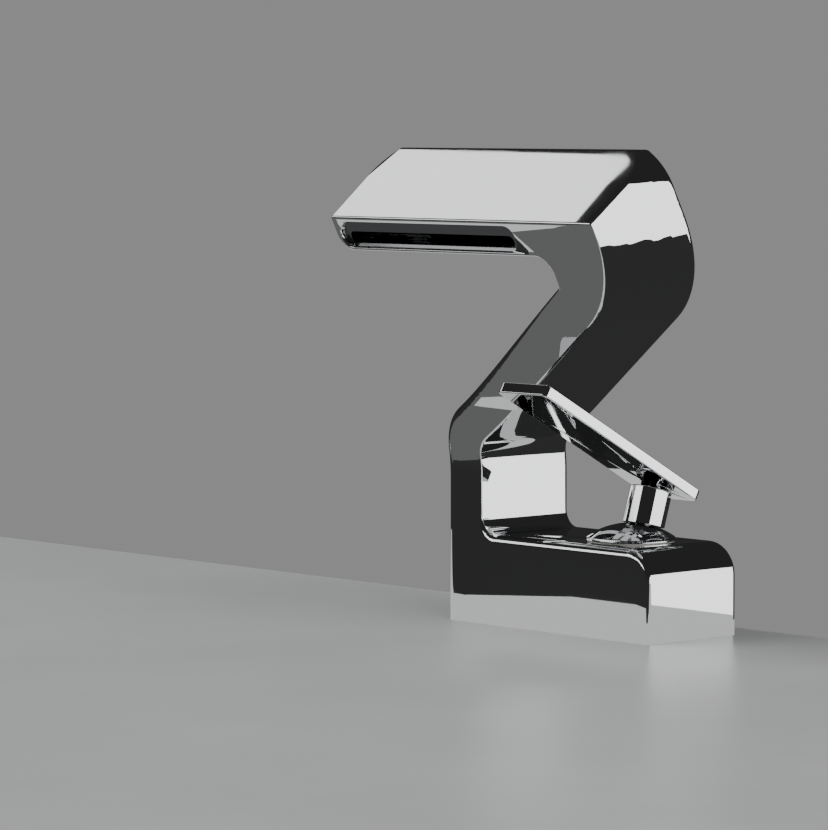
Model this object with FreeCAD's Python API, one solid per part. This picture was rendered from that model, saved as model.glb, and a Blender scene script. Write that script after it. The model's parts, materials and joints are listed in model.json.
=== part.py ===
import FreeCAD, Part
import math
import os
from FreeCAD import Vector

# Single-lever waterfall basin mixer, in millimetres.
# Origin: middle of the base's footprint, on the deck.  X runs along the wall, Y points to the
# wall, Z is up.  The lever and the outlet face the user, at -Y.

# ---- base block -------------------------------------------------------------------------------
base_length = 115.0
base_depth = 50.0
base_height = 36.5
base_end_radius = 13.0
base_front_blend = 3.8
side_edge_blend = 1.5

# ---- ribbon: upright, diagonal, bend and top bar, as seen from the front -----------------------
upright_thickness = 20.5
upright_outer_rise = 45.1
upright_inner_rise = 35.3
diagonal_top_angle = 30.5
diagonal_under_angle = 31.2
upright_outer_radius = 20.0
upright_inner_radius = 10.0
upright_foot_radius = 7.0
inner_bend_reach = 97.0
inner_bend_radius = 7.0
bar_overhang = 20.5
bar_underside_rise = 113.8
bar_height = 42.6
bar_top_margin = 2.0
bar_end_radius = 16.0
bar_lower_end_radius = 7.0
bend_reach_front = 125.5
bend_reach_back = 138.0
bend_radius_front = 40.0
bend_radius_back = 57.0
bend_top_radius_front = 20.0
bend_top_radius_back = 15.0
section_front_y = -85.0
section_back_y = 60.0

# ---- forward lean, as seen from the side -------------------------------------------------------
lean_angle = 26.57
lean_start_rise = 38.5
lean_radius = 70.0
lip_drop = 29.2
casting_wall = 3.2
left_front_blend = 4.5
left_front_blend_end = 1.0
back_blend = 3.0
roof_edge_blend = 1.0

# ---- mouth and its insert ----------------------------------------------------------------------
mouth_length = 100.2
mouth_height = 10.0
mouth_end_margin = 3.6
mouth_rise = 6.6
mouth_depth = 12.0
insert_clearance = 0.2
insert_recess = 1.5
slit_length = 94.0
slit_height = 4.6
slit_lift = 1.3
nozzle_seal_thickness = 1.0
bulkhead_thickness = 2.5

# ---- cartridge pocket and waterways ------------------------------------------------------------
cartridge_from_right = 34.5
pocket_radius = 13.5
pocket_depth = 32.0
nut_step = 1.1
nut_clearance = 0.15
nut_height = 5.0
nut_bore_radius = 11.6
outlet_channel_radius = 3.5
outlet_channel_rise = 11.5
inlet_spacing = 14.0
inlet_offset = 27.0
inlet_thread_radius = 4.5
inlet_thread_length = 5.4
inlet_bore_radius = 4.0
inlet_bore_rise = 8.2
inlet_channel_radius = 2.1
inlet_channel_start_rise = 6.1
inlet_channel_rise = 2.5

# ---- underside ---------------------------------------------------------------------------------
base_wall = 4.0
gasket_thickness = 0.8
cover_thickness = 1.2
cover_margin = 3.0
stud_hole_radius = 3.4
stud_hole_depth = 9.0
stud_from_left = 26.5
stud_from_right = 10.5
stud_clearance_radius = 4.5
hollow_depth = 26.0
cover_screw_radius = 1.5
cover_screw_head_radius = 2.6
cover_screw_length = 7.0

# ---- cartridge ---------------------------------------------------------------------------------
cartridge_clearance = 0.2
cartridge_base_height = 4.9
fixed_disc_radius = 10.4
fixed_disc_thickness = 2.0
moving_disc_radius = 8.0
moving_disc_thickness = 1.5
disc_gap = 0.05
carrier_thickness = 3.4
housing_bore_radius = 12.3
housing_lip_bottom_drop = 11.5
turret_play = 0.1
turret_neck_radius = 11.0
turret_bottom_drop = 3.0
turret_top_rise = 1.0
port_radius = 1.9
passage_radius = 1.4
port_seal_length = 3.0
port_seal_reach = 1.4
port_seal_wall = 0.6
seal_section = 1.5

# ---- lever -------------------------------------------------------------------------------------
pivot_drop = 16.5
lever_tilt = 17.7
tilt_to_closed = 17.7
tilt_to_full_flow = 1.3
pin_radius = 1.25
pin_length = 20.0
pin_play = 0.03
spindle_radius = 3.5
spindle_length = 33.0
spindle_arm = 4.6
spindle_ball_radius = 2.2
ball_play = 0.2
dome_over_nut = 2.9
dome_crown = 7.0
dome_sphere_radius = 31.0
dome_wall = 1.4
glide_ring_thickness = 0.4
glide_play = 0.05
stem_radius = 8.4
stem_top = 37.9
stem_dome_gap = 0.8
plate_joint_height = 39.66
plate_length = 96.8
plate_width = 26.8
plate_thickness = 4.6
plate_pitch = 28.5
plate_rear_overhang = 14.0
plate_corner_radius = 2.5
boss_radius = 4.6
boss_gap = 0.3
set_screw_radius = 2.0
set_screw_height = 30.0
set_screw_length = 3.0
index_plug_radius = 2.8
index_plug_depth = 1.6

# ---- places worked out from the sizes above ----------------------------------------------------
left = -base_length / 2
right = base_length / 2
front = -base_depth / 2
back = base_depth / 2
lean = math.tan(math.radians(lean_angle))
top_height = base_height + bar_underside_rise + bar_height
lip_height = top_height - lip_drop
lean_start = base_height + lean_start_rise
bar_underside = base_height + bar_underside_rise
cartridge_x = right - cartridge_from_right
cartridge_y = 0.0
pivot_z = base_height - pivot_drop
pivot = Vector(cartridge_x, cartridge_y, pivot_z)
cover_top = gasket_thickness + cover_thickness
nut_bottom = base_height - 1.5 - nut_height
# The cartridge hangs from the top of the base, so its pocket, its ports and the passages that meet
# them keep their distance from it, and the nut and the dome follow the pocket's width.
pocket_floor = base_height - pocket_depth
cartridge_base_top = pocket_floor + cartridge_base_height
outlet_channel_height = pocket_floor + outlet_channel_rise
inlet_bore_top = pocket_floor + inlet_bore_rise
inlet_channel_start_height = pocket_floor + inlet_channel_start_rise
inlet_channel_height = pocket_floor + inlet_channel_rise
nut_radius = pocket_radius + nut_step
dome_radius = nut_radius + dome_over_nut
inlet_x = cartridge_x - inlet_offset
mouth_x = left - bar_overhang + mouth_end_margin + mouth_length / 2
mouth_z = bar_underside + mouth_rise


# ---- small geometry helpers --------------------------------------------------------------------
def inset_corners(corners, distance):
    """The same outline moved inwards; convex radii shrink and concave radii grow."""
    lines = []
    for (x0, y0, _), (x1, y1, _) in zip(corners, corners[1:] + corners[:1]):
        length = math.hypot(x1 - x0, y1 - y0)
        run_x = (x1 - x0) / length
        run_y = (y1 - y0) / length
        lines.append((x0 - run_y * distance, y0 + run_x * distance, run_x, run_y))
    moved = []
    for index, corner in enumerate(corners):
        ax, ay, ux, uy = lines[index - 1]
        bx, by, vx, vy = lines[index]
        turn = ux * vy - uy * vx
        along = ((bx - ax) * vy - (by - ay) * vx) / turn
        radius = corner[2]
        if radius:
            radius = radius - distance if turn > 0 else radius + distance
        moved.append((ax + ux * along, ay + uy * along, max(radius, 0.0)))
    return moved


def outline(corners, place):
    """A closed wire through the corners, each rounded by its own radius."""
    starts, middles, ends = [], [], []
    for index, (x, y, radius) in enumerate(corners):
        point = Vector(x, y, 0)
        before = Vector(corners[index - 1][0], corners[index - 1][1], 0)
        after = Vector(corners[(index + 1) % len(corners)][0], corners[(index + 1) % len(corners)][1], 0)
        if not radius:
            starts.append(point)
            middles.append(None)
            ends.append(point)
            continue
        to_before = (before - point).normalize()
        to_after = (after - point).normalize()
        half = to_before.getAngle(to_after) / 2
        reach = radius / math.tan(half)
        centre = point + (to_before + to_after).normalize() * (radius / math.sin(half))
        starts.append(point + to_before * reach)
        middles.append(centre + (point - centre).normalize() * radius)
        ends.append(point + to_after * reach)
    edges = []
    for index in range(len(corners)):
        if middles[index]:
            arc = Part.Arc(place(starts[index]), place(middles[index]), place(ends[index]))
            edges.append(arc.toShape())
        following = starts[(index + 1) % len(corners)]
        edges.append(Part.LineSegment(place(ends[index]), place(following)).toShape())
    return Part.Wire(edges)


def cylinder(radius, bottom, top, x=0.0, y=0.0):
    return Part.makeCylinder(radius, top - bottom, Vector(x, y, bottom))


def ring(outer, inner, bottom, top, x=0.0, y=0.0):
    return cylinder(outer, bottom, top, x, y).cut(cylinder(inner, bottom - 1, top + 1, x, y))


def box(low, high):
    size = Vector(*high) - Vector(*low)
    return Part.makeBox(size.x, size.y, size.z, Vector(*low))


def slot_prism(length, height, start_y, end_y, x, z):
    """A round-ended bar along Y, length in X and height in Z."""
    half = length / 2
    rise = height / 2
    corners = [(x - half, z - rise, rise * 0.98), (x + half, z - rise, rise * 0.98),
               (x + half, z + rise, rise * 0.98), (x - half, z + rise, rise * 0.98)]
    wire = outline(corners, lambda p: Vector(p.x, start_y, p.y))
    return Part.Face(wire).extrude(Vector(0, end_y - start_y, 0))


def cut_all(shape, tools):
    return shape.cut(Part.makeCompound(tools)) if tools else shape


def one_solid(shape):
    """The single solid of a result, with coplanar faces joined."""
    solid = max(shape.removeSplitter().Solids, key=lambda item: item.Volume)
    return solid


def save(name, *solids):
    shape = solids[0] if len(solids) == 1 else Part.makeCompound(list(solids))
    if not shape.isValid() or not shape.Solids:
        raise ValueError(name + " is not a valid solid")
    shape.exportStep(os.path.join("parts", name + ".step"))


# ---- spout body --------------------------------------------------------------------------------
def front_view(reach, bend_radius, bend_top_radius, bottom, with_base):
    """Corners of the ribbon, and of the base when wanted, anticlockwise from bottom left."""
    top_slope = math.tan(math.radians(diagonal_top_angle))
    under_slope = math.tan(math.radians(diagonal_under_angle))
    foot = left + upright_thickness
    inner_start = base_height + upright_inner_rise
    outer_start = base_height + upright_outer_rise
    profile_top = top_height + bar_top_margin
    corners = [(left, bottom, 0)]
    if with_base:
        corners += [(right, bottom, 0),
                    (right, base_height, base_end_radius),
                    (foot, base_height, upright_foot_radius)]
    else:
        corners += [(foot, bottom, 0)]
    corners += [(foot, inner_start, upright_inner_radius),
                (left + reach, inner_start + (reach - upright_thickness) * under_slope, bend_radius),
                (left + reach, profile_top, bend_top_radius),
                (left - bar_overhang, profile_top, bar_end_radius),
                (left - bar_overhang, bar_underside, bar_lower_end_radius),
                (left + inner_bend_reach, bar_underside, inner_bend_radius),
                (left + inner_bend_reach, outer_start + inner_bend_reach * top_slope, 0),
                (left, outer_start, upright_outer_radius)]
    return corners


def side_view(bottom):
    """Corners of the leaning band, anticlockwise from bottom front."""
    return [(front, bottom, 0),
            (back, bottom, 0),
            (back, lean_start, lean_radius),
            (back - lean * (top_height - lean_start), top_height, 0),
            (front - lean * (lip_height - lean_start), lip_height, 0),
            (front, lean_start, lean_radius)]


def side_band(inset, bottom):
    corners = side_view(bottom)
    if inset:
        corners = inset_corners(corners, inset)
    wire = outline(corners, lambda p: Vector(-2 * base_length, p.x, p.y))
    return Part.Face(wire).extrude(Vector(4 * base_length, 0, 0))


def ribbon_solid(inset, bottom, with_base):
    """Front view drawn through the leaning band; the outer bend grows wider to the back."""
    sections = []
    for y, reach, bend_radius, top_radius in (
            (section_front_y, bend_reach_front, bend_radius_front, bend_top_radius_front),
            (section_back_y, bend_reach_back, bend_radius_back, bend_top_radius_back)):
        corners = front_view(reach, bend_radius, top_radius, bottom, with_base)
        if inset:
            corners = inset_corners(corners, inset)
        sections.append(outline(corners, lambda p, y=y: Vector(p.x, y, p.y)))
    loft = Part.makeLoft(sections, True, True)
    return loft.common(side_band(inset, bottom)).Solids[0]


def lean_shift(height):
    """How far the front has moved forward at a height."""
    reach = lean_radius * math.tan(math.radians(lean_angle) / 2)
    if height <= lean_start - reach:
        return 0.0
    full = lean_start + reach * math.cos(math.radians(lean_angle))
    if height >= full:
        return lean * (height - lean_start)
    rise = height - (lean_start - reach)
    return lean_radius - math.sqrt(lean_radius ** 2 - rise ** 2)


def edge_points(edge):
    span = edge.LastParameter - edge.FirstParameter
    return [edge.valueAt(edge.FirstParameter + span * part) for part in (0.0, 0.5, 1.0)]


def lies_on(edge, plane_y):
    """Whether an edge runs on the front or back sheet, and not straight across it."""
    points = edge_points(edge)
    for point in points:
        if abs(point.y + lean_shift(point.z) - plane_y) > 0.05:
            return False
    level = max(p.z for p in points) - min(p.z for p in points) < 0.01
    inside_bend = lean_start - lean_radius < points[1].z < lean_start + lean_radius
    on_base_top = abs(points[1].z - base_height) < 0.01
    return not (level and inside_bend and not on_base_top)


def chain_from_ground(edges):
    """Edges in walking order from the ground, each with its near and far end."""
    waiting = list(edges)
    here = min((p for e in waiting for p in edge_points(e)), key=lambda p: p.z)
    walk = []
    while waiting:
        for edge in waiting:
            ends = (edge_points(edge)[0], edge_points(edge)[2])
            near = 0 if ends[0].distanceToPoint(here) < 0.01 else 1
            if ends[near].distanceToPoint(here) < 0.01:
                walk.append((edge, ends[near], ends[1 - near]))
                here = ends[1 - near]
                waiting.remove(edge)
                break
        else:
            return walk
    return walk


def blend_chain(walk, radius_at):
    """Fillet entries for a chain; radii go with the direction of its first edge."""
    first = walk[0][0]
    start, _, finish = edge_points(first)
    if first.Orientation == "Reversed":
        start, finish = finish, start
    outward = start.distanceToPoint(walk[0][1]) < 0.01
    entries = []
    for edge, near, far in walk:
        radii = (radius_at(near), radius_at(far))
        entries.append((edge, radii[0], radii[1]) if outward else (edge, radii[1], radii[0]))
    return entries


def blend(shape, entries):
    """Rolling-ball blends along edges, each with a start and an end radius."""
    document = FreeCAD.newDocument("blends")
    source = document.addObject("Part::Feature", "source")
    source.Shape = shape
    fillet = document.addObject("Part::Fillet", "fillet")
    fillet.Base = source
    numbered = []
    for edge, start, finish in entries:
        number = 1 + next(i for i, other in enumerate(shape.Edges) if other.isSame(edge))
        numbered.append((number, start, finish))
    fillet.Edges = numbered
    document.recompute()
    result = fillet.Shape.copy()
    FreeCAD.closeDocument(document.Name)
    if result.isNull() or not result.isValid():
        raise ValueError("blend failed")
    return result.Solids[0]


def blend_spout(shape):
    """Large blend up the left front edge, fine ones elsewhere, softer ones at the back."""
    foot = left + upright_thickness
    inner_end = left + inner_bend_reach
    top_slope = math.tan(math.radians(diagonal_top_angle))
    edges = [e for e in shape.Edges if max(p.z for p in edge_points(e)) > 0]
    on_front = [e for e in edges if lies_on(e, front)]
    on_back = [e for e in edges if lies_on(e, back)]

    def on_left_side(edge):
        point = edge_points(edge)[1]
        line = base_height + upright_outer_rise + (point.x - left) * top_slope
        return point.x < left + 0.1 or (abs(point.z - line) < 4 and point.x < inner_end - 0.1)

    def on_bar(edge):
        point = edge_points(edge)[1]
        return point.z > bar_underside - 12 and point.x < inner_end + 0.1

    def lip_or_roof(edge):
        return min(p.z for p in edge_points(edge)) > lip_height - 0.1

    left_front = [e for e in on_front if on_left_side(e) and not on_bar(e)]
    right_front = [e for e in on_front if not on_left_side(e) and not on_bar(e) and not lip_or_roof(e)]
    bar_front = [e for e in on_front if on_bar(e)]
    lip = [e for e in on_front if lip_or_roof(e) and e not in bar_front]
    roof_sides = [e for e in edges if lip_or_roof(e) and e not in on_front and e not in on_back
                  and abs(edge_points(e)[0].z - edge_points(e)[2].z) > 1
                  and roof_level(edge_points(e)[1]) < 0.05]
    back_right = [e for e in on_back if not on_left_side(e) and not on_bar(e)]
    back_top = [e for e in on_back if on_bar(e) and edge_points(e)[1].z > top_height - 0.05]

    def left_radius(point):
        share = (point.x - left) / inner_bend_reach
        start = 0.22
        if share < start:
            return left_front_blend
        return left_front_blend + (left_front_blend_end - left_front_blend) * (share - start) / (1 - start)

    def right_radius(point):
        if point.x > right - 0.1 and point.z < base_height:
            return side_edge_blend
        if abs(point.z - base_height) < 0.01 and point.x > foot:
            return base_front_blend
        return roof_edge_blend

    def roof_radius(point):
        share = (point.z - lip_height) / (top_height - lip_height)
        return roof_edge_blend + (back_blend - roof_edge_blend) * max(0.0, share)

    entries = blend_chain(chain_from_ground(left_front), left_radius)
    entries += blend_chain(chain_from_ground(right_front), right_radius)
    for edge in bar_front + lip:
        entries.append((edge, roof_edge_blend, roof_edge_blend))
    for edge in roof_sides:
        entries.append((edge, roof_edge_blend, roof_edge_blend))
    for edge in back_right + back_top:
        entries.append((edge, back_blend, back_blend))
    return blend(shape, entries)


def roof_level(point):
    """Height of a point off the sloping roof."""
    rear_y = back - lean * (top_height - lean_start)
    lip_y = front - lean * (lip_height - lean_start)
    share = (point.y - lip_y) / (rear_y - lip_y)
    return abs(point.z - (lip_height + (top_height - lip_height) * share))


def base_hollows():
    """Lightening pockets in the base, front and back, beside the water passages."""
    near_left = left + upright_thickness + 6
    near_pocket = cartridge_x - pocket_radius - 5
    beyond = cartridge_x + nut_radius + 3
    outer_y = back - base_wall
    hollows = []
    for low_x, high_x, low_y in ((near_left, near_pocket, inlet_spacing / 2 + inlet_thread_radius + 2),
                                 (beyond, right - base_wall, stud_clearance_radius + 3)):
        for side in (-1, 1):
            ys = sorted((side * low_y, side * outer_y))
            hollows.append(box((low_x, ys[0], cover_top), (high_x, ys[1], hollow_depth)))
    return hollows


def stud_places():
    return [(left + stud_from_left, 0.0), (right - stud_from_right, 0.0)]


def cover_screw_places():
    inset = cover_margin + cover_screw_head_radius + 1.2
    return [(x, y) for x in (left + inset, right - inset) for y in (front + inset, back - inset)]


def make_spout_body():
    outer = ribbon_solid(0, -1.0, True)
    outer = blend_spout(outer).common(box((-2 * base_length, -4 * base_depth, 0),
                                          (2 * base_length, 4 * base_depth, 2 * top_height)))
    waterway_floor = outlet_channel_height - outlet_channel_radius
    waterway = ribbon_solid(casting_wall, waterway_floor - casting_wall, False)
    bulkhead = slot_prism(mouth_length + 2 * casting_wall, mouth_height + 2 * casting_wall,
                          -2 * base_length, recess_back_y() + bulkhead_thickness, mouth_x, mouth_z)
    waterway = waterway.cut(bulkhead)
    mouth = slot_prism(mouth_length, mouth_height, -2 * base_length, recess_back_y(), mouth_x, mouth_z)
    slit = slot_prism(slit_length, slit_height, -2 * base_length,
                      recess_back_y() + bulkhead_thickness + 1, mouth_x, slit_z())
    tools = [waterway, mouth, slit]
    tools.append(cylinder(pocket_radius, pocket_floor, base_height + 1, cartridge_x, cartridge_y))
    tools.append(cylinder(nut_radius + nut_clearance, nut_bottom, base_height + 1, cartridge_x, cartridge_y))
    channel_start = left + upright_thickness / 2
    channel_length = cartridge_x - pocket_radius / 2 - channel_start
    tools.append(Part.makeCylinder(outlet_channel_radius, channel_length,
                                   Vector(channel_start, 0, outlet_channel_height), Vector(1, 0, 0)))
    for side in (-1, 1):
        y = side * inlet_spacing / 2
        tools.append(cylinder(inlet_thread_radius, -1, cover_top + inlet_thread_length, inlet_x, y))
        tools.append(cylinder(inlet_bore_radius, 0, inlet_bore_top, inlet_x, y))
        start = Vector(inlet_x, y, inlet_channel_start_height)
        finish = Vector(seal_end_x() + 1, y, inlet_channel_height)
        tools.append(Part.makeCylinder(inlet_channel_radius, start.distanceToPoint(finish),
                                       start, finish - start))
        tools.append(Part.makeCylinder(inlet_channel_radius, port_seal_reach + 3,
                                       Vector(seal_end_x() - port_seal_reach, y, inlet_channel_height),
                                       Vector(1, 0, 0)))
    tools.append(box((left + cover_margin, front + cover_margin, -1),
                     (right - cover_margin, back - cover_margin, cover_top)))
    for x, y in stud_places():
        tools.append(cylinder(stud_hole_radius, 0, cover_top + stud_hole_depth, x, y))
    for x, y in cover_screw_places():
        tools.append(cylinder(cover_screw_radius, 0, cover_top + cover_screw_length, x, y))
    tools += base_hollows()
    return one_solid(cut_all(outer, tools))


# ---- underside pieces --------------------------------------------------------------------------
def underside_sheet(bottom, top, play):
    sheet = box((left + cover_margin + play, front + cover_margin + play, bottom),
                (right - cover_margin - play, back - cover_margin - play, top))
    holes = [cylinder(stud_clearance_radius, bottom - 1, top + 1, x, y) for x, y in stud_places()]
    for side in (-1, 1):
        holes.append(cylinder(inlet_thread_radius + 0.8, bottom - 1, top + 1,
                              inlet_x, side * inlet_spacing / 2))
    return cut_all(sheet, holes)


def make_base_cover():
    sheet = underside_sheet(gasket_thickness, cover_top, 0.1)
    heads = [cylinder(cover_screw_head_radius, gasket_thickness - 1, cover_top + 1, x, y)
             for x, y in cover_screw_places()]
    return one_solid(cut_all(sheet, heads))


def make_cover_screws():
    screws = []
    for x, y in cover_screw_places():
        head = cylinder(cover_screw_head_radius - 0.1, gasket_thickness, cover_top, x, y)
        shank = cylinder(cover_screw_radius, cover_top - 0.01, cover_top + cover_screw_length - 0.5, x, y)
        drive = box((x - 1.6, y - 0.4, gasket_thickness - 1), (x + 1.6, y + 0.4, gasket_thickness + 0.6))
        screws.append(one_solid(head.fuse(shank).cut(drive)))
    return screws


def make_deck_gasket():
    return one_solid(underside_sheet(0, gasket_thickness, 0.3))


# ---- outlet ------------------------------------------------------------------------------------
def recess_back_y():
    """The plane that the mouth's recess ends at."""
    return front - lean_shift(mouth_z) + mouth_depth


def slit_z():
    return mouth_z - mouth_height / 2 + insert_clearance + slit_lift + slit_height / 2


def make_outlet_nozzle():
    rear = recess_back_y() - nozzle_seal_thickness
    blank = slot_prism(mouth_length - 2 * insert_clearance, mouth_height - 2 * insert_clearance,
                       -2 * base_length, rear, mouth_x, mouth_z)
    blank = blank.common(side_band(insert_recess, 0))
    slit = slot_prism(slit_length, slit_height, -2 * base_length, rear + 1, mouth_x, slit_z())
    return one_solid(blank.cut(slit))


def make_nozzle_seal():
    rear = recess_back_y()
    inset = 2 * insert_clearance
    outer = slot_prism(mouth_length - inset, mouth_height - inset,
                       rear - nozzle_seal_thickness, rear, mouth_x, mouth_z)
    inner = slot_prism(slit_length + 1.0, slit_height + 0.8, rear - 3, rear + 1, mouth_x, slit_z() + 0.2)
    return one_solid(outer.cut(inner))


# ---- cartridge ---------------------------------------------------------------------------------
fixed_disc_top = cartridge_base_top + fixed_disc_thickness
moving_disc_bottom = fixed_disc_top + disc_gap
carrier_bottom = moving_disc_bottom + moving_disc_thickness
carrier_top = carrier_bottom + carrier_thickness
carrier_y = cartridge_y - spindle_arm * math.sin(math.radians(lever_tilt))
housing_lip_bottom = base_height - housing_lip_bottom_drop
turret_bottom = pivot_z - turret_bottom_drop
turret_top = base_height + turret_top_rise


def port_places():
    """Hot and cold ports in the disc, above the ends of the side passages."""
    return [(cartridge_x - 4.5, cartridge_y + side * inlet_spacing / 2 * 0.8) for side in (-1, 1)]


def make_cartridge_base():
    outer = pocket_radius - cartridge_clearance
    blank = cylinder(outer, pocket_floor, cartridge_base_top, cartridge_x, cartridge_y)
    tools = []
    for side, (x, y) in zip((-1, 1), port_places()):
        line_y = side * inlet_spacing / 2
        tools.append(Part.makeCylinder(passage_radius, pocket_radius,
                                       Vector(x - pocket_radius, line_y, inlet_channel_height),
                                       Vector(1, 0, 0)))
        tools.append(cylinder(port_radius, inlet_channel_height, cartridge_base_top + 1, x, y))
        tools.append(Part.makeCylinder(inlet_channel_radius, port_seal_length,
                                       Vector(seal_end_x() - port_seal_reach, line_y,
                                              inlet_channel_height), Vector(1, 0, 0)))
    tools.append(cylinder(port_radius, cartridge_base_top - 2.5, cartridge_base_top + 1,
                          cartridge_x + 5.5, cartridge_y))
    return one_solid(cut_all(blank, tools))


def seal_end_x():
    """Where the pocket wall stands on the line of an inlet passage."""
    return cartridge_x - math.sqrt(pocket_radius ** 2 - (inlet_spacing / 2) ** 2)


def make_port_seals():
    seals = []
    for side in (-1, 1):
        y = side * inlet_spacing / 2
        start = Vector(seal_end_x() - port_seal_reach, y, inlet_channel_height)
        outer = Part.makeCylinder(inlet_channel_radius, port_seal_length, start, Vector(1, 0, 0))
        inner = Part.makeCylinder(inlet_channel_radius - port_seal_wall, port_seal_length + 2,
                                  start - Vector(1, 0, 0), Vector(1, 0, 0))
        seals.append(one_solid(outer.cut(inner)))
    return seals


def make_fixed_disc():
    disc = cylinder(fixed_disc_radius, cartridge_base_top, fixed_disc_top, cartridge_x, cartridge_y)
    holes = [cylinder(port_radius, cartridge_base_top - 1, fixed_disc_top + 1, x, y) for x, y in port_places()]
    holes.append(cylinder(port_radius, cartridge_base_top - 1, fixed_disc_top + 1,
                          cartridge_x + 5.5, cartridge_y))
    return one_solid(cut_all(disc, holes))


def make_moving_disc():
    disc = cylinder(moving_disc_radius, moving_disc_bottom, carrier_bottom, cartridge_x, carrier_y)
    mixing = cylinder(moving_disc_radius - 3.0, moving_disc_bottom - 1, moving_disc_bottom + 0.8,
                      cartridge_x, carrier_y)
    return one_solid(disc.cut(mixing))


def make_disc_carrier():
    plate = cylinder(moving_disc_radius + 0.5, carrier_bottom, carrier_top, cartridge_x, carrier_y)
    socket = cylinder(spindle_ball_radius + ball_play, carrier_bottom - 1, carrier_top + 1,
                      cartridge_x, carrier_y)
    return one_solid(plate.cut(socket))


def make_cartridge_housing():
    outer = pocket_radius - cartridge_clearance
    tube = ring(outer, housing_bore_radius, cartridge_base_top, housing_lip_bottom, cartridge_x, cartridge_y)
    lip = ring(outer, turret_neck_radius + turret_play, housing_lip_bottom - 0.01, nut_bottom,
               cartridge_x, cartridge_y)
    window = box((cartridge_x - pocket_radius - 1, cartridge_y - 3.2, outlet_channel_height - 2.6),
                 (cartridge_x - 6, cartridge_y + 3.2, outlet_channel_height + 2.6))
    groove = ring(pocket_radius + 1, outer - 0.7, pivot_z + 1.5, pivot_z + 1.5 + seal_section,
                  cartridge_x, cartridge_y)
    seat = ring(housing_bore_radius + 0.01, fixed_disc_radius, cartridge_base_top, fixed_disc_top,
                cartridge_x, cartridge_y)
    return one_solid(tube.fuse(lip).fuse(seat).cut(window).cut(groove))


def make_housing_seal():
    outer = pocket_radius - cartridge_clearance
    return one_solid(ring(pocket_radius, outer - 0.7, pivot_z + 1.5, pivot_z + 1.5 + seal_section,
                          cartridge_x, cartridge_y))


def make_cartridge_nut():
    nut = ring(nut_radius, nut_bore_radius, nut_bottom, nut_bottom + nut_height, cartridge_x, cartridge_y)
    notches = []
    for number in range(4):
        notch = box((nut_bore_radius - 1, -1.2, nut_bottom + nut_height - 2),
                    (nut_radius - 1, 1.2, nut_bottom + nut_height + 1))
        notch.rotate(Vector(0, 0, 0), Vector(0, 0, 1), 45 + 90 * number)
        notch.translate(Vector(cartridge_x, cartridge_y, 0))
        notches.append(notch)
    return one_solid(cut_all(nut, notches))


def spindle_way(width):
    """The wedge that the spindle sweeps as it tilts, with room around it."""
    above = dome_crown + pivot_drop + 2
    below = turret_bottom_drop + 1
    steepest = math.radians(lever_tilt + tilt_to_full_flow)
    room = spindle_radius + 0.7
    corners = [(-room - below * math.tan(steepest), -below, 0),
               (room, -below, 0),
               (room, 0, 0),
               (room + above * math.tan(steepest), above, 0),
               (-room - 0.2, above, 0),
               (-room - 0.2, 0, 0)]
    wire = outline(corners, lambda p: pivot + Vector(-width / 2, p.x, p.y))
    return Part.Face(wire).extrude(Vector(width, 0, 0))


def lever_pin_line(radius, length):
    return Part.makeCylinder(radius, length, pivot - Vector(length / 2, 0, 0), Vector(1, 0, 0))


def make_cartridge_turret():
    foot = cylinder(housing_bore_radius - turret_play, turret_bottom, housing_lip_bottom - turret_play,
                    cartridge_x, cartridge_y)
    neck = cylinder(turret_neck_radius, housing_lip_bottom - turret_play - 0.01, turret_top,
                    cartridge_x, cartridge_y)
    blank = foot.fuse(neck).cut(spindle_way(2 * spindle_radius + 0.6))
    return one_solid(blank.cut(lever_pin_line(pin_radius, pin_length)))


def make_lever_pin():
    return lever_pin_line(pin_radius, pin_length)


def make_glide_ring():
    return one_solid(ring(dome_radius - 0.4, nut_radius + 0.6, base_height,
                          base_height + glide_ring_thickness, cartridge_x, cartridge_y))


def dome_sphere(grow):
    centre = Vector(cartridge_x, cartridge_y, base_height + dome_crown - dome_sphere_radius)
    return Part.makeSphere(dome_sphere_radius + grow, centre)


def make_dome_cap():
    bottom = base_height + glide_ring_thickness + glide_play
    tall = cylinder(dome_radius, bottom, base_height + dome_crown + 1, cartridge_x, cartridge_y)
    outer = tall.common(dome_sphere(0))
    inner = cylinder(dome_radius - dome_wall, bottom - 1, base_height + dome_crown + 1,
                     cartridge_x, cartridge_y).common(dome_sphere(-dome_wall))
    shell = outer.cut(inner)
    collar_bottom = nut_bottom + nut_height + 0.4
    collar = ring(turret_neck_radius + dome_wall, turret_neck_radius, collar_bottom,
                  base_height + dome_crown, cartridge_x, cartridge_y).common(dome_sphere(-dome_wall / 2))
    return one_solid(shell.fuse(collar).cut(spindle_way(2 * spindle_radius + 0.8)))


# ---- lever -------------------------------------------------------------------------------------
def place_on_spindle(shape):
    """Turn a piece drawn upright about the pivot to the lever's tilt, and move it there."""
    placed = shape.copy()
    placed.rotate(Vector(0, 0, 0), Vector(1, 0, 0), -lever_tilt)
    placed.translate(pivot)
    return placed


def make_spindle():
    rod = cylinder(spindle_radius, -2.0, spindle_length)
    neck = cylinder(1.7, -spindle_arm, -1.9)
    ball = Part.makeSphere(spindle_ball_radius, Vector(0, 0, -spindle_arm))
    hole = Part.makeCylinder(pin_radius + pin_play, 20, Vector(-10, 0, 0), Vector(1, 0, 0))
    dimple = Part.makeCone(0, 1.2, 1.2, Vector(0, spindle_radius - 1.0, set_screw_height), Vector(0, 1, 0))
    return place_on_spindle(one_solid(rod.fuse(neck).fuse(ball).cut(hole).cut(dimple)))


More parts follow.
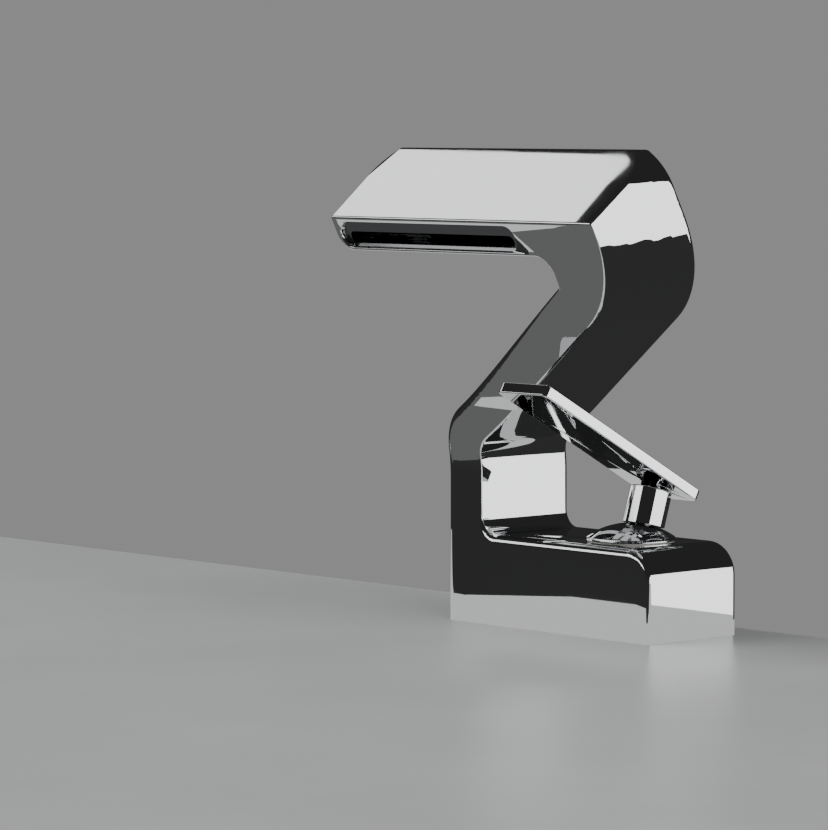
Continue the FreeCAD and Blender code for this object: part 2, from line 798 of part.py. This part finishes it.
def make_lever_stem():
    barrel = cylinder(stem_radius, pivot_drop - 4, stem_top)
    barrel = barrel.makeFillet(0.6, [e for e in barrel.Edges if e.BoundBox.ZMin > stem_top - 0.01])
    tools = [cylinder(spindle_radius, 0, spindle_length),
             cylinder(boss_radius, spindle_length, stem_top + 1),
             Part.makeCylinder(set_screw_radius, stem_radius + 2, Vector(0, 0, set_screw_height),
                               Vector(0, 1, 0)),
             Part.makeCylinder(index_plug_radius, 4, Vector(0, stem_radius - index_plug_depth,
                               set_screw_height), Vector(0, 1, 0))]
    barrel = place_on_spindle(one_solid(cut_all(barrel, tools)))
    return one_solid(barrel.cut(dome_sphere(stem_dome_gap)))


def make_lever_plate():
    """Flat plate rising to the user, with the boss that enters the stem."""
    half = plate_width / 2
    nose = plate_rear_overhang - plate_length
    radius = plate_corner_radius
    corners = [(-half, nose, radius), (half, nose, radius),
               (half, plate_rear_overhang, radius), (-half, plate_rear_overhang, radius)]
    slab = Part.Face(outline(corners, lambda p: Vector(p.x, p.y, 0))).extrude(Vector(0, 0, plate_thickness))
    slab = slab.makeFillet(0.5, [e for e in slab.Edges if e.BoundBox.ZLength < 0.01])
    slab.rotate(Vector(0, 0, 0), Vector(1, 0, 0), -plate_pitch)
    up = Vector(0, math.sin(math.radians(lever_tilt)), math.cos(math.radians(lever_tilt)))
    slab.translate(pivot + up * plate_joint_height)
    boss = place_on_spindle(cylinder(boss_radius, spindle_length + boss_gap, plate_joint_height + 1.5))
    return one_solid(slab.fuse(boss))


def make_set_screw():
    screw = Part.makeCylinder(set_screw_radius, set_screw_length,
                              Vector(0, spindle_radius, set_screw_height), Vector(0, 1, 0))
    key = Part.makePolygon([Vector(1.1 * math.cos(math.radians(60 * n)), spindle_radius + 1.2,
                                   set_screw_height + 1.1 * math.sin(math.radians(60 * n)))
                            for n in range(7)])
    socket = Part.Face(key).extrude(Vector(0, set_screw_length, 0))
    return place_on_spindle(one_solid(screw.cut(socket)))


def make_index_plug():
    plug = Part.makeCylinder(index_plug_radius, index_plug_depth,
                             Vector(0, stem_radius - index_plug_depth, set_screw_height), Vector(0, 1, 0))
    return place_on_spindle(plug.common(cylinder(stem_radius - 0.02, 0, stem_top)))


# ---- all pieces --------------------------------------------------------------------------------
os.makedirs("parts", exist_ok=True)
save("spout_body", make_spout_body())
save("base_cover", make_base_cover())
save("cover_screws", *make_cover_screws())
save("deck_gasket", make_deck_gasket())
save("outlet_nozzle", make_outlet_nozzle())
save("nozzle_seal", make_nozzle_seal())
save("cartridge_base", make_cartridge_base())
save("port_seals", *make_port_seals())
save("fixed_disc", make_fixed_disc())
save("cartridge_housing", make_cartridge_housing())
save("housing_seal", make_housing_seal())
save("cartridge_nut", make_cartridge_nut())
save("glide_ring", make_glide_ring())
save("moving_disc", make_moving_disc())
save("disc_carrier", make_disc_carrier())
save("cartridge_turret", make_cartridge_turret())
save("lever_pin", make_lever_pin())
save("dome_cap", make_dome_cap())
save("spindle", make_spindle())
save("lever_stem", make_lever_stem())
save("lever_plate", make_lever_plate())
save("set_screw", make_set_screw())
save("index_plug", make_index_plug())
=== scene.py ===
import json
import math
import bpy
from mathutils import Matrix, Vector


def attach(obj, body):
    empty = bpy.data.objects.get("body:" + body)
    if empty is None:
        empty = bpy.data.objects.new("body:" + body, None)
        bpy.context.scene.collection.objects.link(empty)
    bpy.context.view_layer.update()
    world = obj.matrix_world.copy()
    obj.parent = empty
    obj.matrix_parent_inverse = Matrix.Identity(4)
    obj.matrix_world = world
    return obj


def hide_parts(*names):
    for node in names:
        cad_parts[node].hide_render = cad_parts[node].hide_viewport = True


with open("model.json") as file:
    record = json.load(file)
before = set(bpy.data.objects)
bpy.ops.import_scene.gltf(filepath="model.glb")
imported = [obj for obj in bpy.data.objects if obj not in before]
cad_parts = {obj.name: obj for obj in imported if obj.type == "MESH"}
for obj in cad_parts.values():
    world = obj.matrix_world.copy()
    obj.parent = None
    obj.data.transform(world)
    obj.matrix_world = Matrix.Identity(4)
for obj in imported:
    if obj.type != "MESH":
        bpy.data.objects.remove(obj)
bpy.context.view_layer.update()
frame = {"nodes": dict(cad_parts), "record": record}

MM = 0.001


# ---- colours and nodes -------------------------------------------------------------------------
def colour(code):
    """Linear colour from an sRGB hex value."""
    channels = []
    for place in (1, 3, 5):
        value = int(code[place:place + 2], 16) / 255
        channels.append(value / 12.92 if value <= 0.04045 else ((value + 0.055) / 1.055) ** 2.4)
    return (*channels, 1.0)


def node(tree, kind, settings=None, links=None):
    """Add one node, set its properties and input values, and link its inputs."""
    new = tree.nodes.new(kind)
    for name, value in (settings or {}).items():
        if isinstance(name, str) and hasattr(new, name):
            setattr(new, name, value)
        else:
            new.inputs[name].default_value = value
    for name, output in (links or {}).items():
        tree.links.new(output, new.inputs[name])
    return new


def new_material(name):
    material = bpy.data.materials.new(name)
    material.use_nodes = True
    material.node_tree.nodes.clear()
    return material


def finish_material(material, surface, metallic, roughness, base, bump=None):
    """A principled surface with the given links, joined to the material's output.
    Roughness is a number, or the output of a node that varies it."""
    tree = material.node_tree
    settings = {"Metallic": metallic, "Base Color": base}
    links = dict(surface)
    if not isinstance(roughness, float):
        links["Roughness"] = roughness
    else:
        settings["Roughness"] = roughness
    if bump:
        links["Normal"] = bump
    shader = node(tree, "ShaderNodeBsdfPrincipled", settings, links)
    node(tree, "ShaderNodeOutputMaterial", {}, {"Surface": shader.outputs["BSDF"]})
    return material


def chrome_plate(name, shade, polish, haze_grain_mm):
    """Bright chromium over polished metal: mirror-clear, with a breath of wiping haze.
    The haze only lifts the roughness a little in soft patches some centimetres across."""
    material = new_material(name)
    tree = material.node_tree
    place = node(tree, "ShaderNodeTexCoord")
    patches = node(tree, "ShaderNodeTexNoise", {"Scale": 1000 / haze_grain_mm, "Detail": 3.0},
                   {"Vector": place.outputs["Object"]})
    haze = node(tree, "ShaderNodeMapRange",
                {"From Min": 0.45, "From Max": 0.75, "To Min": polish, "To Max": polish + 0.02},
                {"Value": patches.outputs["Fac"]})
    ripple = node(tree, "ShaderNodeTexNoise", {"Scale": 1000 / 28.0, "Detail": 1.0},
                  {"Vector": place.outputs["Object"]})
    level = node(tree, "ShaderNodeBump", {"Strength": 0.02, "Distance": 0.1 * MM},
                 {"Height": ripple.outputs["Fac"]})
    return finish_material(material, {}, 1.0, haze.outputs["Result"], colour(shade),
                           level.outputs["Normal"])


def moulded_plastic(name, shade, gloss, grain_mm):
    """Acetal or ABS moulding: even colour, a fine spark-eroded grain that softens the shine."""
    material = new_material(name)
    tree = material.node_tree
    place = node(tree, "ShaderNodeTexCoord")
    grain = node(tree, "ShaderNodeTexNoise", {"Scale": 1000 / grain_mm, "Detail": 2.0},
                 {"Vector": place.outputs["Object"]})
    level = node(tree, "ShaderNodeBump", {"Strength": 0.15, "Distance": 0.05 * MM},
                 {"Height": grain.outputs["Fac"]})
    return finish_material(material, {}, 0.0, gloss, colour(shade), level.outputs["Normal"])


def turned_metal(name, shade, roughness, pitch_mm):
    """Bar stock turned on a lathe: fine tool rings along the axis that stretch the highlight."""
    material = new_material(name)
    tree = material.node_tree
    place = node(tree, "ShaderNodeTexCoord")
    rings = node(tree, "ShaderNodeTexWave",
                 {"wave_type": "BANDS", "bands_direction": "Z", "Scale": 1000 / pitch_mm / 20,
                  "Distortion": 0.4},
                 {"Vector": place.outputs["Object"]})
    level = node(tree, "ShaderNodeBump", {"Strength": 0.12, "Distance": 0.04 * MM},
                 {"Height": rings.outputs["Fac"]})
    return finish_material(material, {}, 1.0, roughness, colour(shade), level.outputs["Normal"])


def cast_rubber(name, shade):
    """EPDM rubber pressed in a matt mould: nearly black, dull, with a dusty bloom."""
    material = new_material(name)
    tree = material.node_tree
    place = node(tree, "ShaderNodeTexCoord")
    bloom = node(tree, "ShaderNodeTexNoise", {"Scale": 1000 / 6.0, "Detail": 4.0},
                 {"Vector": place.outputs["Object"]})
    dull = node(tree, "ShaderNodeMapRange", {"To Min": 0.55, "To Max": 0.8},
                {"Value": bloom.outputs["Fac"]})
    return finish_material(material, {}, 0.0, dull.outputs["Result"], colour(shade))


finishes = {
    "chrome": chrome_plate("polished_chrome_on_zinc", "#E4E5E6", 0.015, 30.0),
    "lever_chrome": chrome_plate("polished_chrome_on_lever", "#ECEDEE", 0.02, 22.0),
    "nozzle_chrome": chrome_plate("satin_chrome_on_nozzle", "#9A9C9E", 0.16, 12.0),
    "brass": turned_metal("turned_brass", "#C9A45C", 0.3, 0.5),
    "stainless": turned_metal("turned_stainless_steel", "#B9B9B7", 0.25, 0.4),
    "white_ceramic": moulded_plastic("lapped_alumina_ceramic", "#EDECE6", 0.12, 0.4),
    "white_plastic": moulded_plastic("white_acetal", "#DDDCD6", 0.4, 0.6),
    "grey_plastic": moulded_plastic("dark_grey_abs", "#5A5C5E", 0.38, 0.6),
    "black_rubber": cast_rubber("black_epdm_rubber", "#1A1A1B"),
}
# Every node wears the finish of its slot in the record.
slots = {item["node"]: item["material_slot"] for item in frame["record"]["subparts"]}
for name, made in frame["nodes"].items():
    made.data.materials.clear()
    made.data.materials.append(finishes[slots[name]])



# ---- polished copies of the plated pieces ------------------------------------------------------
def body_of(name):
    for body, members in frame["record"]["behaviour"]["bodies"].items():
        if name in members:
            return body
    return None


def polished_copy(name, crease_degrees):
    """A plated piece as it leaves the polishing wheel: its curved faces shade as one curve.
    The shape is the CAD node's own, merged; only creases over the given angle stay sharp."""
    source = frame["nodes"][name]
    piece = source.copy()
    piece.data = source.data.copy()
    piece.name = name + "_polished"
    bpy.context.collection.objects.link(piece)
    bpy.ops.object.select_all(action="DESELECT")
    piece.select_set(True)
    bpy.context.view_layer.objects.active = piece
    bpy.ops.object.mode_set(mode="EDIT")
    bpy.ops.mesh.select_all(action="SELECT")
    bpy.ops.mesh.remove_doubles(threshold=0.001 * MM)
    bpy.ops.object.mode_set(mode="OBJECT")
    bpy.ops.object.shade_smooth_by_angle(angle=math.radians(crease_degrees))
    # Large flat faces keep their own direction, so only the blends and round faces are evened out.
    even = piece.modifiers.new("even_curves", "WEIGHTED_NORMAL")
    even.mode = "FACE_AREA"
    even.weight = 100
    even.keep_sharp = True
    bpy.ops.object.modifier_apply(modifier=even.name)
    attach(piece, body_of(name))
    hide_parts(name)
    return piece


crease_angle = 25
for name in ("spout_body", "outlet_nozzle", "dome_cap", "lever_stem", "lever_plate", "spindle"):
    polished_copy(name, crease_angle)


# ---- camera ------------------------------------------------------------------------------------
camera_data = bpy.data.cameras.new("studio_camera")
camera = bpy.data.objects.new("studio_camera", camera_data)
bpy.context.collection.objects.link(camera)
view_line = Vector((0.73662, -0.67252, 0.0715))
side_line = Vector((0.674, 0.7385, 0.0))
camera.location = Vector((1.18397, -1.17566, 0.20447))
up_line = view_line.cross(side_line.normalized())
turn = camera.rotation_euler.to_matrix()
turn.col[0] = side_line.normalized()
turn.col[1] = up_line.normalized()
turn.col[2] = view_line.normalized()
camera.rotation_euler = turn.to_euler()
camera_data.sensor_width = 36.0
camera_data.lens = 181.8
camera_data.clip_start = 0.05
camera_data.clip_end = 20.0
bpy.context.scene.camera = camera


# ---- floor, cards and light --------------------------------------------------------------------
def glow_shade(name, shade, strength):
    """A surface that only gives light, for cards that are mirrored in the chrome."""
    material = new_material(name)
    tree = material.node_tree
    light = node(tree, "ShaderNodeEmission", {"Color": colour(shade), "Strength": strength})
    node(tree, "ShaderNodeOutputMaterial", {}, {"Surface": light.outputs["Emission"]})
    return material


def sheet(name, corners, material, seen=True, mirrored=True):
    """One flat card of the studio, given by its corners in millimetres.
    It may show only directly or only in reflections."""
    mesh = bpy.data.meshes.new(name)
    mesh.from_pydata([Vector(c) * MM for c in corners], [], [range(len(corners))])
    mesh.materials.append(material)
    card = bpy.data.objects.new(name, mesh)
    bpy.context.collection.objects.link(card)
    card.visible_camera = seen
    card.visible_glossy = mirrored
    card.visible_diffuse = seen
    card.visible_shadow = seen
    card.visible_transmission = seen
    return card


def level_card(name, low, high, height, material, **sight):
    """A level rectangle from its low to its high corner in X and Y, at one height."""
    return sheet(name, [(low[0], low[1], height), (high[0], low[1], height),
                        (high[0], high[1], height), (low[0], high[1], height)], material, **sight)


def stone_floor():
    """Pale honed stone: soft cloudy tone and a low shine."""
    material = new_material("pale_honed_stone")
    tree = material.node_tree
    place = node(tree, "ShaderNodeTexCoord")
    clouds = node(tree, "ShaderNodeTexNoise", {"Scale": 9.0, "Detail": 6.0, "Roughness": 0.6},
                  {"Vector": place.outputs["Object"]})
    tone = node(tree, "ShaderNodeValToRGB", {}, {"Fac": clouds.outputs["Fac"]})
    tone.color_ramp.elements[0].color = colour("#B4B5B6")
    tone.color_ramp.elements[1].color = colour("#C9CACB")
    return finish_material(material, {"Base Color": tone.outputs["Color"]}, 0.0, 0.35, colour("#C0C0C0"))


level_card("floor", (-1500, -1500), (1500, 42), -0.05, stone_floor(), seen=True, mirrored=False)
deck_tone = glow_shade("deck_in_reflections", "#D8D8D8", 1.0)
basin_tone = glow_shade("basin_in_reflections", "#6A6A6A", 1.0)
level_card("deck_mirrored", (-420, -91), (1200, 73), -0.1, deck_tone, seen=False)
level_card("basin_mirrored", (-900, -600), (900, -91), -120, basin_tone, seen=False)


def round_card(name, middle, across, up, width, height, corner, material):
    """A soft box front with rounded corners, seen only in reflections."""
    middle, across, up = Vector(middle), Vector(across).normalized(), Vector(up).normalized()
    points = []
    for side_x, side_y, first in ((1, 1, 0), (-1, 1, 90), (-1, -1, 180), (1, -1, 270)):
        for step in range(7):
            angle = math.radians(first + 15 * step)
            x = side_x * (width / 2 - corner) + corner * math.cos(angle)
            y = side_y * (height / 2 - corner) + corner * math.sin(angle)
            points.append(middle + across * x + up * y)
    return sheet(name, points, material, seen=False)


def card_at(name, azimuth, elevation, distance, width, height, corner, material):
    """A soft box square-on to the object, given by its direction and size in millimetres."""
    az, el = math.radians(azimuth), math.radians(elevation)
    middle = Vector((math.cos(az) * math.cos(el), math.sin(az) * math.cos(el), math.sin(el))) * distance
    across = Vector((-math.sin(az), math.cos(az), 0))
    up = middle.cross(across)
    return round_card(name, middle + Vector((0, 0, 80)), across, up, width, height, corner, material)


card_at("right_back_box", 24, 2, 1500, 2200, 660, 60, glow_shade("right_back_glow", "#FFFFFF", 2.3))
card_at("left_box", 206, 24, 1500, 900, 340, 80, glow_shade("left_glow", "#FFFFFF", 1.6))
card_at("stem_box", 243, 26, 1480, 1200, 560, 60, glow_shade("stem_glow", "#FFFFFF", 2.0))


def roof_box():
    """The soft box that the roof mirrors: a rounded rectangle inset from the roof's edges, thrown
    out along the mirrored sight lines to a card about a metre up and to the left."""
    slope_low, slope_high = Vector((0, -69.35, 163.7)), Vector((0, -33.95, 192.9))
    along = (slope_high - slope_low).normalized()
    normal = Vector((1, 0, 0)).cross(along)
    eye = camera.location / MM
    eye_mirrored = eye - normal * (2 * (eye - slope_low).dot(normal))
    depth = (slope_high - slope_low).length
    low_x, high_x, corner = -80.0, 62.0, 9.0
    points = []
    for end_x, end_s, side_x, side_s, first in ((high_x, depth - 3, 1, 1, 0), (low_x, depth - 3, -1, 1, 90),
                                                (low_x, -8, -1, -1, 180), (high_x, -8, 1, -1, 270)):
        for step in range(7):
            angle = math.radians(first + 15 * step)
            x = end_x + corner * (math.cos(angle) - side_x)
            up = end_s + corner * (math.sin(angle) - side_s)
            on_roof = slope_low + along * up + Vector((x, 0, 0))
            points.append(eye_mirrored + (on_roof - eye_mirrored) * 1.6)
    return sheet("roof_box", points, glow_shade("roof_glow", "#FFFFFF", 1.65), seen=False)


roof_box()


def soft_light(name, place, aim, size, power):
    """A rectangular soft light that lights the floor but isn't mirrored in the chrome."""
    data = bpy.data.lights.new(name, "AREA")
    data.shape = "RECTANGLE"
    data.size, data.size_y = size
    data.energy = power
    lamp = bpy.data.objects.new(name, data)
    bpy.context.collection.objects.link(lamp)
    lamp.location = place
    lamp.rotation_euler = (Vector(aim) - Vector(place)).to_track_quat("-Z", "Y").to_euler()
    lamp.visible_camera = False
    lamp.visible_glossy = False
    return lamp


soft_light("key_softbox", (-0.9, -0.9, 1.5), (0, 0, 0.05), (1.2, 1.2), 26.0)
soft_light("fill_softbox", (1.4, -0.4, 1.3), (0, 0, 0.05), (1.0, 1.0), 14.0)

world = bpy.data.worlds.new("studio_room")
bpy.context.scene.world = world
world.use_nodes = True
room = world.node_tree
room.nodes.clear()
ray = node(room, "ShaderNodeLightPath")
seen_room = node(room, "ShaderNodeBackground", {"Color": colour("#8C8C8C"), "Strength": 1.0})
way = node(room, "ShaderNodeTexCoord")
way_up = node(room, "ShaderNodeSeparateXYZ", {}, {"Vector": way.outputs["Generated"]})
tone = node(room, "ShaderNodeValToRGB", {}, {"Fac": node(
    room, "ShaderNodeMapRange", {"From Min": -1.0}, {"Value": way_up.outputs["Z"]}).outputs["Result"]})
tone.color_ramp.elements[0].color = colour("#343434")
tone.color_ramp.elements[0].position = 0.40
tone.color_ramp.elements[1].color = colour("#2A2A2A")
tone.color_ramp.elements[1].position = 0.62
mirrored_room = node(room, "ShaderNodeBackground", {"Strength": 1.0}, {"Color": tone.outputs["Color"]})
choice = node(room, "ShaderNodeMixShader", {}, {"Fac": ray.outputs["Is Glossy Ray"],
                                                1: seen_room.outputs[0], 2: mirrored_room.outputs[0]})
node(room, "ShaderNodeOutputWorld", {}, {"Surface": choice.outputs[0]})
